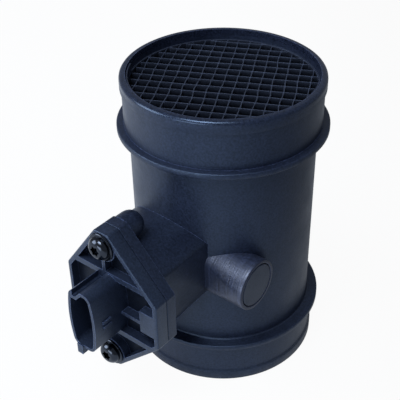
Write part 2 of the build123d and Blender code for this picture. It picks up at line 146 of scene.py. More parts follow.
def fill_inputs(tree, node, inputs):
    """Gives a node's inputs their values, or links from the sockets given."""
    for name, value in inputs.items():
        socket = node.inputs[name]
        if isinstance(value, bpy.types.NodeSocket):
            tree.links.new(value, socket)
        else:
            socket.default_value = value


def new_material(name):
    """A node material with its Principled shader and output: returns material, tree, shader."""
    material = bpy.data.materials.new(name)
    material.use_nodes = True
    tree = material.node_tree
    tree.nodes.clear()
    shader = add_node(tree, "ShaderNodeBsdfPrincipled")
    add_node(tree, "ShaderNodeOutputMaterial", {"Surface": shader.outputs["BSDF"]})
    return material, tree, shader


def scaled(colour, factor):
    """A linear RGB colour made lighter or darker, as RGBA."""
    return [min(1.0, c * factor) for c in colour[:3]] + [1.0]


# ---------------------------------------------------------------- finishes


def moulded_plastic(
    name, colour, grain=0.8, roughness=0.42, specular=0.45, relief=0.08,
    depth=None, floors=False, sleeve=None, edge_highlight_gain=5.0, lip=None, tint=SATIN_TINT,
):
    """Injection-moulded engineering plastic. Eye sees a satin blue-black skin with a fine spark-eroded
    grain, faint flow streaks along the pull of the mould, rubbed patches, and pockets that sink into
    shade. grain and relief are in millimetres.
    depth is (axis, dark end, light end, darkest share) for the pockets, in metres; with floors, only
    faces that look along -Y sink. sleeve is where along X the turned skin of a boss ends, in metres.
    The edge gain is how much paler a painted highlight makes the edges, convex and concave alike. lip
    is (low, high) of a hose's seat, which hoses have rubbed bright."""
    material, tree, shader = new_material(name)
    coords = add_node(tree, "ShaderNodeTexCoord").outputs["Object"]
    # At 0.6 and 0.8 mm the grain is drawn coarser than real so that it shows.
    height = add_node(
        tree, "ShaderNodeTexNoise",
        {"Vector": coords, "Scale": per_size(grain), "Detail": 3.0, "Roughness": 0.6},
    ).outputs["Fac"]
    rubbed = add_node(
        tree, "ShaderNodeTexNoise",
        {"Vector": coords, "Scale": per_size(14.0), "Detail": 5.0, "Roughness": 0.65},
    )
    gloss = add_node(
        tree, "ShaderNodeMapRange",
        {
            "Value": rubbed.outputs["Fac"],
            "From Min": 0.3, "From Max": 0.7,
            "To Min": roughness + 0.06, "To Max": roughness - 0.06,
        },
    ).outputs["Result"]
    speckle = add_node(
        tree, "ShaderNodeMapRange",
        {"Value": height, "From Min": 0.35, "From Max": 0.65, "To Min": 0.5, "To Max": 1.5},
    )
    # Painted highlight: every edge, convex and concave alike, is drawn paler in the base colour.
    highlighted_edges = add_node(
        tree, "ShaderNodeMapRange", {"Value": painted_edge_highlight(tree), "To Min": 1.0, "To Max": edge_highlight_gain},
    )
    brightness = [speckle.outputs["Result"], highlighted_edges.outputs["Result"]]
    shine = specular
    if lip:
        gloss = rubbed_lip(tree, coords, lip, gloss)
    if sleeve:
        turned_skin, height = turned_sleeve(tree, coords, sleeve, height)
        shine = add_node(
            tree, "ShaderNodeMapRange",
            {"Value": turned_skin, "To Min": specular, "To Max": specular * 2.0},
        ).outputs["Result"]
        brightness.append(ring_tone(tree, turned_skin, height))
    if depth:
        light_share = pocket_light(tree, coords, depth, floors)
        shine = add_node(
            tree, "ShaderNodeMath", {0: light_share, 1: specular}, operation="MULTIPLY",
        ).outputs[0]
        brightness.append(light_share)
    surface_colour = flow_streaks(tree, coords, colour)
    for factor in brightness:
        surface_colour = add_node(
            tree, "ShaderNodeVectorMath", {0: surface_colour, "Scale": factor}, operation="SCALE",
        ).outputs["Vector"]
    bump = add_node(
        tree, "ShaderNodeBump", {"Height": height, "Strength": 0.5, "Distance": relief * MM},
    )
    fill_inputs(tree, shader, {
        "Base Color": surface_colour,
        "Roughness": gloss,
        "Normal": bump.outputs["Normal"],
        "IOR": 1.55,
        "Specular IOR Level": shine,
        "Specular Tint": tint,
    })
    return material


def flow_streaks(tree, coords, colour):
    """The colour of the moulding, with faint streaks along the pull of the mould."""
    along_pull = add_node(tree, "ShaderNodeMapping", {"Vector": coords, "Scale": (1.0, 1.0, 0.12)})
    flow = add_node(
        tree, "ShaderNodeTexNoise",
        {
            "Vector": along_pull.outputs[0], "Scale": per_size(6.0),
            "Detail": 4.0, "Distortion": 0.6,
        },
    )
    return add_node(
        tree, "ShaderNodeMix",
        {
            "Factor": flow.outputs["Fac"],
            "A": scaled(colour, 1.0 - STREAK_SHARE),
            "B": scaled(colour, 1.0 + STREAK_SHARE),
        },
        data_type="RGBA",
    ).outputs["Result"]


def rubbed_lip(tree, coords, lip, gloss):
    """The roughness, less where hoses have rubbed the lip bright."""
    height = add_node(tree, "ShaderNodeSeparateXYZ", {"Vector": coords}).outputs["Z"]
    share = add_node(
        tree, "ShaderNodeMapRange", {"Value": height, "From Min": lip[0], "From Max": lip[1]},
    )
    return add_node(
        tree, "ShaderNodeMath", {0: share.outputs["Result"], 1: -0.16, 2: gloss},
        operation="MULTIPLY_ADD",
    ).outputs[0]


def ring_tone(tree, turned_skin, height):
    """How bright the rings of a turned skin are painted: a painted highlight on their crests, which
    leaves the turned skin lighter on the whole, and none in their grooves.
    """
    tone = add_node(
        tree, "ShaderNodeMapRange",
        {"Value": height, "From Min": 0.35, "From Max": 0.65, "To Min": 0.8, "To Max": 2.2},
    ).outputs["Result"]
    return add_node(
        tree, "ShaderNodeMapRange", {"Value": turned_skin, "To Min": 1.0, "To Max": tone},
    ).outputs["Result"]


def pocket_light(tree, coords, depth, floors):
    """How much light reaches the skin between the dark and the light end of a pocket."""
    axis, dark_end, light_end, darkest = depth
    place = add_node(tree, "ShaderNodeSeparateXYZ", {"Vector": coords})
    share = add_node(
        tree, "ShaderNodeMapRange",
        {
            "Value": place.outputs[axis],
            "From Min": dark_end, "From Max": light_end, "To Min": darkest, "To Max": 1.0,
        },
    ).outputs["Result"]
    return floors_only(tree, share) if floors else share


def painted_edge_highlight(tree):
    """How near the skin is to an edge, convex or concave: the share of a painted highlight there."""
    eased = add_node(tree, "ShaderNodeBevel", {"Radius": EDGE_HIGHLIGHT_WIDTH}, samples=4).outputs["Normal"]
    flat = add_node(tree, "ShaderNodeNewGeometry").outputs["Normal"]
    likeness = add_node(
        tree, "ShaderNodeVectorMath", {0: eased, 1: flat}, operation="DOT_PRODUCT",
    ).outputs["Value"]
    return add_node(
        tree, "ShaderNodeMapRange", {"Value": likeness, "From Min": 0.99, "From Max": 0.88},
    ).outputs["Result"]


def floors_only(tree, light_share):
    """Keeps the shade of pockets to the faces that look out along -Y."""
    normal = add_node(tree, "ShaderNodeTexCoord").outputs["Normal"]
    facing = add_node(
        tree, "ShaderNodeMapRange",
        {
            "Value": add_node(tree, "ShaderNodeSeparateXYZ", {"Vector": normal}).outputs["Y"],
            "From Min": -0.4, "From Max": -0.8,
        },
    )
    return add_node(
        tree, "ShaderNodeMapRange",
        {"Value": facing.outputs["Result"], "To Min": 1.0, "To Max": light_share},
    ).outputs["Result"]


def turned_sleeve(tree, coords, end_x, height):
    """Rules the skin of a boss along X with fine rings, up to its end face: returns the share of
    turned skin and the height of the relief."""
    share = add_node(
        tree, "ShaderNodeMapRange",
        {
            "Value": add_node(tree, "ShaderNodeSeparateXYZ", {"Vector": coords}).outputs["X"],
            "From Min": end_x - 0.1 * MM, "From Max": end_x - 0.5 * MM,
        },
    ).outputs["Result"]
    stretched = add_node(tree, "ShaderNodeMapping", {"Vector": coords, "Scale": (1.0, 0.04, 0.04)})
    # The rings are drawn coarser than real so that they show.
    rings = add_node(
        tree, "ShaderNodeTexNoise",
        {"Vector": stretched.outputs[0], "Scale": per_size(0.7), "Detail": 2.0, "Roughness": 0.7},
    )
    ruled = add_node(
        tree, "ShaderNodeMix", {"Factor": share, "A": height, "B": rings.outputs["Fac"]},
        data_type="FLOAT",
    )
    return share, ruled.outputs["Result"]


def plated_metal(name, colour, roughness):
    """Bright or blackened plate over metal. Eye sees a hard reflection, broken by fine tooling marks
    and slightly uneven plating."""
    material, tree, shader = new_material(name)
    coords = add_node(tree, "ShaderNodeTexCoord").outputs["Object"]
    # The tooling marks are drawn coarser than real so that they show.
    tooling = add_node(
        tree, "ShaderNodeTexNoise",
        {"Vector": coords, "Scale": per_size(0.6), "Detail": 4.0, "Roughness": 0.7},
    )
    cloudy = add_node(
        tree, "ShaderNodeTexNoise", {"Vector": coords, "Scale": per_size(3.0), "Detail": 3.0},
    )
    tone = add_node(
        tree, "ShaderNodeMix",
        {"Factor": cloudy.outputs["Fac"], "A": scaled(colour, 0.75), "B": scaled(colour, 1.25)},
        data_type="RGBA",
    )
    gloss = add_node(
        tree, "ShaderNodeMapRange",
        {"Value": tooling.outputs["Fac"], "To Min": roughness * 0.7, "To Max": roughness * 1.4},
    )
    relief = add_node(
        tree, "ShaderNodeBump",
        {"Height": tooling.outputs["Fac"], "Strength": 0.3, "Distance": 0.01 * MM},
    )
    fill_inputs(tree, shader, {
        "Base Color": tone.outputs["Result"],
        "Roughness": gloss.outputs["Result"],
        "Normal": relief.outputs["Normal"],
        "Metallic": 1.0,
    })
    return material


def soft_rubber(name, colour):
    """Silicone. Eye sees a dull, slightly translucent skin with dust-fine mottling."""
    material, tree, shader = new_material(name)
    coords = add_node(tree, "ShaderNodeTexCoord").outputs["Object"]
    # The mottling is drawn coarser than real so that it shows.
    mottle = add_node(
        tree, "ShaderNodeTexNoise", {"Vector": coords, "Scale": per_size(0.8), "Detail": 4.0},
    )
    tone = add_node(
        tree, "ShaderNodeMix",
        {"Factor": mottle.outputs["Fac"], "A": scaled(colour, 0.8), "B": scaled(colour, 1.2)},
        data_type="RGBA",
    )
    relief = add_node(
        tree, "ShaderNodeBump",
        {"Height": mottle.outputs["Fac"], "Strength": 0.3, "Distance": 0.03 * MM},
    )
    fill_inputs(tree, shader, {
        "Base Color": tone.outputs["Result"],
        "Roughness": 0.7,
        "Subsurface Weight": 0.1,
        "Subsurface Scale": 0.5 * MM,
        "Normal": relief.outputs["Normal"],
    })
    return material


def printed_board(name, colour):
    """Solder-resist over copper. Eye sees a glossy green board with paler straight traces beneath."""
    material, tree, shader = new_material(name)
    coords = add_node(tree, "ShaderNodeTexCoord").outputs["Object"]
    traces = add_node(
        tree, "ShaderNodeTexBrick",
        {
            "Vector": coords, "Scale": per_size(3.0), "Mortar Size": 0.06,
            "Color1": scaled(colour, 0.8), "Color2": scaled(colour, 1.1),
            "Mortar": scaled(colour, 2.4),
        },
    )
    relief = add_node(
        tree, "ShaderNodeBump",
        {"Height": traces.outputs["Fac"], "Strength": 0.4, "Distance": 0.03 * MM},
    )
    fill_inputs(tree, shader, {
        "Base Color": traces.outputs["Color"],
        "Roughness": 0.25,
        "Normal": relief.outputs["Normal"],
    })
    return material


def dress(node_name, material):
    """Gives a CAD node this material on every slot."""
    mesh = NODES[node_name].data
    if not mesh.materials:
        mesh.materials.append(material)
    for index in range(len(mesh.materials)):
        mesh.materials[index] = material


def crisp(node_name):
    """Shades a CAD node's flat faces flat and its small chamfers as soft edges, with modifiers only."""
    node = NODES[node_name]
    weld = node.modifiers.new("weld", "WELD")
    weld.merge_threshold = WELD_DISTANCE
    split = node.modifiers.new("split", "EDGE_SPLIT")
    split.split_angle = SHARP_ANGLE
    normals = node.modifiers.new("normals", "WEIGHTED_NORMAL")
    normals.weight = 100
    normals.keep_sharp = False


# ---------------------------------------------------------------- modelling


def select_only(*pieces):
    """Selects these pieces and nothing else, and makes the first of them active."""
    bpy.ops.object.select_all(action="DESELECT")
    for piece in pieces:
        piece.select_set(True)
    bpy.context.view_layer.objects.active = pieces[0]


def edit_points(piece, chosen):
    """Enters edit mode on the piece with only the points selected for which chosen is true."""
    select_only(piece)
    for vertex in piece.data.vertices:
        vertex.select = chosen(vertex)
    for part in (*piece.data.edges, *piece.data.polygons):
        part.select = False
    bpy.ops.object.mode_set(mode="EDIT")
    bpy.ops.mesh.select_mode(type="VERT")


def begin(name, primitive, **settings):
    """Adds a primitive with nothing else selected and enters edit mode on all of it."""
    bpy.ops.object.select_all(action="DESELECT")
    primitive(**settings)
    piece = bpy.context.object
    piece.name = piece.data.name = name
    bpy.ops.object.mode_set(mode="EDIT")
    bpy.ops.mesh.select_all(action="SELECT")
    return piece


def end(piece):
    """Leaves edit mode with outward normals and puts the piece's place into its mesh."""
    bpy.ops.mesh.select_all(action="SELECT")
    bpy.ops.mesh.normals_make_consistent(inside=False)
    bpy.ops.object.mode_set(mode="OBJECT")
    apply_place(piece)
    return piece


def weld_and_end(piece):
    """Welds the points that meet, then ends the piece."""
    bpy.ops.mesh.select_all(action="SELECT")
    bpy.ops.mesh.remove_doubles(threshold=WELD_DISTANCE)
    return end(piece)


def apply_place(piece):
    """Puts the piece's place into its mesh, so that the object sits at the origin."""
    select_only(piece)
    bpy.ops.object.transform_apply(location=True, rotation=True, scale=True)


def apply_modifiers(piece):
    """Applies every modifier of the piece, first to last."""
    bpy.context.view_layer.objects.active = piece
    for name in [modifier.name for modifier in piece.modifiers]:
        bpy.ops.object.modifier_apply(modifier=name)


def smooth(piece, degrees):
    """Smooth shading below that angle between faces."""
    select_only(piece)
    bpy.ops.object.shade_smooth_by_angle(angle=math.radians(degrees))


def join(name, pieces):
    """Joins pieces into the first of them, which takes the name."""
    select_only(*pieces)
    bpy.ops.object.join()
    joined = bpy.context.object
    joined.name = joined.data.name = name
    return joined


def copy_moved(piece, shift):
    """A copy of the piece with a mesh of its own, moved by shift."""
    twin = piece.copy()
    twin.data = piece.data.copy()
    bpy.context.scene.collection.objects.link(twin)
    twin.location = shift
    apply_place(twin)
    return twin


def turned(name, profile, centre, outward=(0, -1, 0), closed=False, segments=72):
    """A piece turned about the axis through centre that points outward: a circle extruded and
    resized from one (radius, outward distance) of the profile to the next. closed joins the last to
    the first, for a ring; otherwise both ends are capped."""
    outward = Vector(outward)
    centre = Vector(centre)
    first_radius, first_out = profile[0]
    piece = begin(
        name, bpy.ops.mesh.primitive_circle_add,
        vertices=segments, radius=first_radius, fill_type="NOTHING" if closed else "NGON",
        location=centre + outward * first_out,
        rotation=outward.to_track_quat("Z", "Y").to_euler(),
    )
    stops = list(profile) + ([profile[0]] if closed else [])
    for (radius_before, out_before), (radius, out) in zip(stops, stops[1:]):
        bpy.ops.mesh.extrude_region_move(
            TRANSFORM_OT_translate={"value": outward * (out - out_before)},
        )
        ratio = radius / radius_before
        bpy.ops.transform.resize(
            value=[1 if abs(along) > 0.5 else ratio for along in outward],
            center_override=centre + outward * out,
        )
    return weld_and_end(piece)


def finish_piece(piece, material, replaced=None):
    """Gives the piece its only material and lets it ride the body, in place of a CAD node if one is
    named."""
    piece.data.materials.clear()
    piece.data.materials.append(material)
    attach(piece, "root")
    if replaced:
        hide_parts(replaced)
    return piece


# ---------------------------------------------------------------- settings


class FinishColours(bpy.types.PropertyGroup):
    """Colours of the finishes."""

    housing: FloatVectorProperty(
        name="Housing", description="Moulded tube and its flange neck",
        subtype="COLOR", size=3, min=0, max=1, default=linear_rgb("#171c2b"),
    )
    connector: FloatVectorProperty(
        name="Connector", description="Moulded insert with its shroud",
        subtype="COLOR", size=3, min=0, max=1, default=linear_rgb("#191f2e"),
    )
    straightener: FloatVectorProperty(
        name="Straightener", description="Flow grid in the inlet",
        subtype="COLOR", size=3, min=0, max=1, default=linear_rgb("#20242f"),
    )
    screw: FloatVectorProperty(
        name="Screw", description="Blackened screws and washers",
        subtype="COLOR", size=3, min=0, max=1, default=linear_rgb("#383c44"),
    )
    floor: FloatVectorProperty(
        name="Floor", description="Studio floor",
        subtype="COLOR", size=3, min=0, max=1, default=(0.60, 0.65, 0.72),
    )


class PartSizes(bpy.types.PropertyGroup):
    """Sizes of the pieces that are modelled here."""

    grid_row_pitch: FloatProperty(
        name="Row pitch", description="Between rows of the straightener",
        subtype="DISTANCE", unit="LENGTH", default=5.08 * MM,
    )
    grid_column_pitch: FloatProperty(
        name="Column pitch", description="Between columns of the straightener",
        subtype="DISTANCE", unit="LENGTH", default=4.82 * MM,
    )
    grid_wall: FloatProperty(
        name="Plate thickness", description="Of the straightener's plates",
        subtype="DISTANCE", unit="LENGTH", default=0.42 * MM,
    )
    grid_depth: FloatProperty(
        name="Plate depth", description="Height of the straightener's rows",
        subtype="DISTANCE", unit="LENGTH", default=9.2 * MM,
    )
    grid_column_drop: FloatProperty(
        name="Column drop", description="How much lower the columns end",
        subtype="DISTANCE", unit="LENGTH", default=0.12 * MM,
    )
    grid_frame_width: FloatProperty(
        name="Frame width", description="Of the straightener's ring",
        subtype="DISTANCE", unit="LENGTH", default=0.6 * MM,
    )
    grid_wave: FloatProperty(
        name="Wave", description="How far the plates wander",
        subtype="DISTANCE", unit="LENGTH", default=1.5 * MM,
    )
    grid_angle: FloatProperty(
        name="Grid turn", description="Turn of the rows",
        subtype="ANGLE", default=math.radians(27.0),
    )
    boss_radius: FloatProperty(
        name="Boss radius", description="Of the side boss at its end",
        subtype="DISTANCE", unit="LENGTH", default=10.8 * MM,
    )
    boss_rim_height: FloatProperty(
        name="Boss rim height", description="Of the rim round the boss's plug",
        subtype="DISTANCE", unit="LENGTH", default=2.5 * MM,
    )
    boss_length: FloatProperty(
        name="Boss length", description="From the skin's inner end to the foot of the rim",
        subtype="DISTANCE", unit="LENGTH", default=19.2 * MM,
    )
    boss_flat: FloatProperty(
        name="Boss flat", description="From the boss's axis to its flat front at the neck",
        subtype="DISTANCE", unit="LENGTH", default=8.2 * MM,
    )
    plug_gap: FloatProperty(
        name="Plug gap", description="Between the boss's rim and its plug",
        subtype="DISTANCE", unit="LENGTH", default=0.32 * MM,
    )
    thread_pitch: FloatProperty(
        name="Thread pitch", description="Of the flange screws",
        subtype="DISTANCE", unit="LENGTH", default=0.8 * MM,
    )
    recess_radius: FloatProperty(
        name="Recess radius", description="Of the six-lobed drive",
        subtype="DISTANCE", unit="LENGTH", default=2.35 * MM,
    )
    recess_depth: FloatProperty(
        name="Recess depth", description="Of the six-lobed drive",
        subtype="DISTANCE", unit="LENGTH", default=1.7 * MM,
    )


class StudioSettings(bpy.types.PropertyGroup):
    """Camera and lamps."""

    azimuth: FloatProperty(
        name="Azimuth", description="Turn of the camera round the tube",
        subtype="ANGLE", default=math.radians(37.5),
    )
    elevation: FloatProperty(
        name="Elevation", description="Height of the camera over the horizon",
        subtype="ANGLE", default=math.radians(35.85),
    )
    distance: FloatProperty(
        name="Distance", description="Camera to the point it looks at",
        subtype="DISTANCE", unit="LENGTH", default=368.4 * MM,
    )
    look_height: FloatProperty(
        name="Look height", description="Height on the tube's axis that the camera looks at",
        subtype="DISTANCE", unit="LENGTH", default=64.2 * MM,
    )
    lens: FloatProperty(
        name="Lens", description="Focal length on a 36 mm sensor", min=1, default=76.5,
    )
    shift_x: FloatProperty(name="Shift X", description="Sideways lens shift", default=-0.0585)
    shift_y: FloatProperty(name="Shift Y", description="Upright lens shift", default=0.0178)


# ---------------------------------------------------------------- operators


class AIRFLOW_OT_finish_mouldings(bpy.types.Operator):
    """Give the moulded housing, connector, plug and probe their plastic finishes"""

    bl_idname = "airflow.finish_mouldings"
    bl_label = "Mouldings"

    def execute(self, context):
        colours = context.scene.airflow_colours
        housing = moulded_plastic(
            "pbt_moulded_housing", colours.housing,
            lip=(CAD_BOX[1][2] - 3.2 * MM, CAD_BOX[1][2] - 2.2 * MM),
        )
        for name in ("housing", "side_plug", "grid_retainer"):
            dress(name, housing)
        plate_front = WASHER_HIGH[1]
        pockets = ("Y", plate_front + 2.8 * MM, plate_front + 0.3 * MM, 0.3)
        # The connector's edges get a stronger painted highlight than the housing's, and its pocket
        # floors painted shade.
        flange = moulded_plastic(
            "pbt_moulded_connector", colours.connector,
            grain=0.6, specular=0.55, depth=pockets, floors=True, edge_highlight_gain=6.0,
        )
        dress("connector_flange", flange)
        probe = moulded_plastic("pps_probe", colours.connector, grain=0.25, roughness=0.5)
        dress("probe_arm", probe)
        dress("board_cover", moulded_plastic("pbt_cover", colours.connector, grain=0.25))
        chip_colour = linear_rgb("#1d1e20")
        for number in range(1, 4):
            chip = moulded_plastic(f"epoxy_chip_{number}", chip_colour, grain=0.08)
            dress(f"board_chip_{number}", chip)
        for name in NODES:
            crisp(name)
        return {"FINISHED"}


class AIRFLOW_OT_finish_metalwork(bpy.types.Operator):
    """Give inserts, terminals, seal, sensing parts and board their finishes"""

    bl_idname = "airflow.finish_metalwork"
    bl_label = "Metalwork and electronics"

    def execute(self, context):
        dress("threaded_inserts", plated_metal("knurled_brass", linear("#b08d4a"), 0.35))
        tin = plated_metal("tinned_brass", linear("#b9b6ad"), 0.3)
        for number in range(1, 5):
            dress(f"terminal_{number}", tin)
        dress("heat_sink", plated_metal("aluminium_sink", linear("#b4b8bc"), 0.38))
        dress("temperature_sensor", plated_metal("glass_capped_bead", linear("#6f6a5c"), 0.15))
        dress("insert_seal", soft_rubber("silicone_seal", linear("#7a3a24")))
        dress("sensor_element", soft_rubber("alumina_element", linear("#d8d4c8")))
        dress("circuit_board", printed_board("epoxy_glass_board", linear("#1e4a33")))
        return {"FINISHED"}


class AIRFLOW_OT_build_boss(bpy.types.Operator):
    """Build the skin of the side boss, flat in front at the neck, with the rim round its plug"""

    bl_idname = "airflow.build_boss"
    bl_label = "Side boss"

    def execute(self, context):
        # The skin encloses the housing's own boss, which ends at the foot of the plug without a rim.
        # Known fault: nothing trims the skin's inner end, so it stands inside the flow bore.
        parts = context.scene.airflow_parts
        middle = [(low + high) / 2 for low, high in zip(PLUG_LOW, PLUG_HIGH)]
        centre = (PLUG_LOW[0], middle[1], middle[2])
        bore = (PLUG_HIGH[1] - PLUG_LOW[1]) / 2 + parts.plug_gap
        radius = parts.boss_radius
        top = parts.boss_rim_height
        root = -parts.boss_length
        ease = BOSS_EASE
        profile = [
            (radius - 0.05 * MM, root * (1 - step / BOSS_SECTIONS)) for step in range(BOSS_SECTIONS)
        ]
        profile += [
            (radius, 0.0), (radius, top - ease), (radius - 0.4 * ease, top - 0.35 * ease),
            (radius - ease, top), (bore + ease, top), (bore, top - ease), (bore, -0.3 * MM),
        ]
        piece = turned("boss_skin", profile, centre, outward=(1, 0, 0), segments=96)
        for step in range(BOSS_SECTIONS + 1):
            share = step / BOSS_SECTIONS
            flat = parts.boss_flat + (radius + 0.03 * MM - parts.boss_flat) * share
            self.flatten(piece, centre, root * (1 - share), flat)
        smooth(piece, 38)
        finish_piece(piece, moulded_plastic(
            "pbt_turned_boss", context.scene.airflow_colours.housing,
            relief=0.3, sleeve=PLUG_HIGH[0], tint=TURNED_TINT,
        ))
        return {"FINISHED"}

    def flatten(self, piece, centre, out, flat):
        """Presses the ring of points at this distance out onto a flat in front of the boss's axis."""

        def in_front(vertex):
            offset = vertex.co - Vector(centre)
            return abs(offset.x - out) < 0.01 * MM and offset.y < -flat

        edit_points(piece, in_front)
        bpy.ops.transform.resize(
            value=(1, 0, 1), center_override=(centre[0], centre[1] - flat, centre[2]),
        )
        bpy.ops.object.mode_set(mode="OBJECT")


class AIRFLOW_OT_build_straightener(bpy.types.Operator):
    """Build the framed, slightly wavy lattice of the flow straightener"""

    bl_idname = "airflow.build_straightener"
    bl_label = "Flow straightener"

    def execute(self, context):
        parts = context.scene.airflow_parts
        low_z = GRID_LOW[2]
        frame_radius = GRID_HIGH[0]
        inner_radius = frame_radius - parts.grid_frame_width
        plates = []
        for pitch, turn, rise in (
            (parts.grid_row_pitch, 0.0, 0.0),
            (parts.grid_column_pitch, math.pi / 2, -parts.grid_column_drop),
        ):
            direction = parts.grid_angle + turn
            count = int(inner_radius / pitch)
            for index in range(-count, count + 1):
                offset = index * pitch
                half = math.sqrt((inner_radius + 0.15 * MM) ** 2 - offset ** 2)
                plates.append(self.plate(parts, direction, offset, half, low_z, rise))
        lattice = join("straightener_lattice", plates)
        self.warp(lattice, parts)
        frame_ring = self.frame_ring(frame_radius, parts.grid_frame_width, low_z)
        piece = join("straightener_lattice", [lattice, frame_ring])
        smooth(piece, 40)
        colour = context.scene.airflow_colours.straightener
        depth = ("Z", GRID_HIGH[2] - 3.2 * MM, GRID_HIGH[2] - 0.2 * MM, 0.02)
        # The plates' edges get a weaker painted highlight, and the cells painted shade deeper down.
        finish = moulded_plastic(
            "pa66_straightener", colour, grain=0.25, specular=0.22, depth=depth, edge_highlight_gain=3.6,
        )
        finish_piece(piece, finish, "flow_grid")
        return {"FINISHED"}

    def plate(self, parts, direction, offset, half, low_z, rise):
        """One thin upright plate across the ring, with rounded top edges."""
        height = parts.grid_depth + rise
        across = Vector((-math.sin(direction), math.cos(direction), 0)) * offset
        piece = begin(
            "straightener_plate", bpy.ops.mesh.primitive_cube_add, size=1.0,
            location=(across.x, across.y, low_z + height / 2), rotation=(0, 0, direction),
        )
        bpy.ops.transform.resize(
            value=(2 * half, parts.grid_wall, height), orient_type="LOCAL",
            center_override=piece.location,
        )
        end(piece)
        bevel = piece.modifiers.new("top_round", "BEVEL")
        bevel.width = 0.13 * MM
        bevel.segments = 2
        apply_modifiers(piece)
        return piece

    def warp(self, piece, parts):
        """Lets the thin plates wander a little, as moulded ones do, and keeps their ends inside the
        frame."""
        select_only(piece)
        bpy.ops.object.mode_set(mode="EDIT")
        for axis in (parts.grid_angle, parts.grid_angle + math.pi / 2):
            normal = (math.cos(axis), math.sin(axis), 0)
            for index in range(-CUTS_EACH_SIDE, CUTS_EACH_SIDE + 1):
                place = [along * index * CUT_PITCH for along in normal]
                bpy.ops.mesh.select_all(action="SELECT")
                bpy.ops.mesh.bisect(plane_co=place, plane_no=normal)
        bpy.ops.object.mode_set(mode="OBJECT")
        texture = bpy.data.textures.new("wander", "CLOUDS")
        texture.noise_scale = WANDER_SIZE
        for axis in ("X", "Y"):
            wander = piece.modifiers.new("wander", "DISPLACE")
            wander.texture = texture
            wander.texture_coords = "GLOBAL"
            wander.direction = axis
            wander.strength = parts.grid_wave
            wander.mid_level = 0.5
        apply_modifiers(piece)
        bpy.data.textures.remove(texture)
        limit = GRID_HIGH[0] - FRAME_GAP
        for vertex in piece.data.vertices:
            reach = math.hypot(vertex.co.x, vertex.co.y)
            if reach > limit:
                vertex.co.x *= limit / reach
                vertex.co.y *= limit / reach

    def frame_ring(self, radius, width, low_z):
        """The ring round the lattice, square in section."""
        height = GRID_HIGH[2] - low_z
        piece = begin(
            "straightener_ring", bpy.ops.mesh.primitive_circle_add, vertices=144, radius=radius,
            location=(0, 0, low_z), fill_type="NOTHING",
        )
        inward = 1 - width / radius
        for rise, ratio in ((height, 1.0), (0.0, inward), (-height, 1.0), (0.0, 1 / inward)):
            bpy.ops.mesh.extrude_region_move(TRANSFORM_OT_translate={"value": (0, 0, rise)})
            bpy.ops.transform.resize(value=(ratio, ratio, 1), center_override=(0, 0, low_z))
        return weld_and_end(piece)


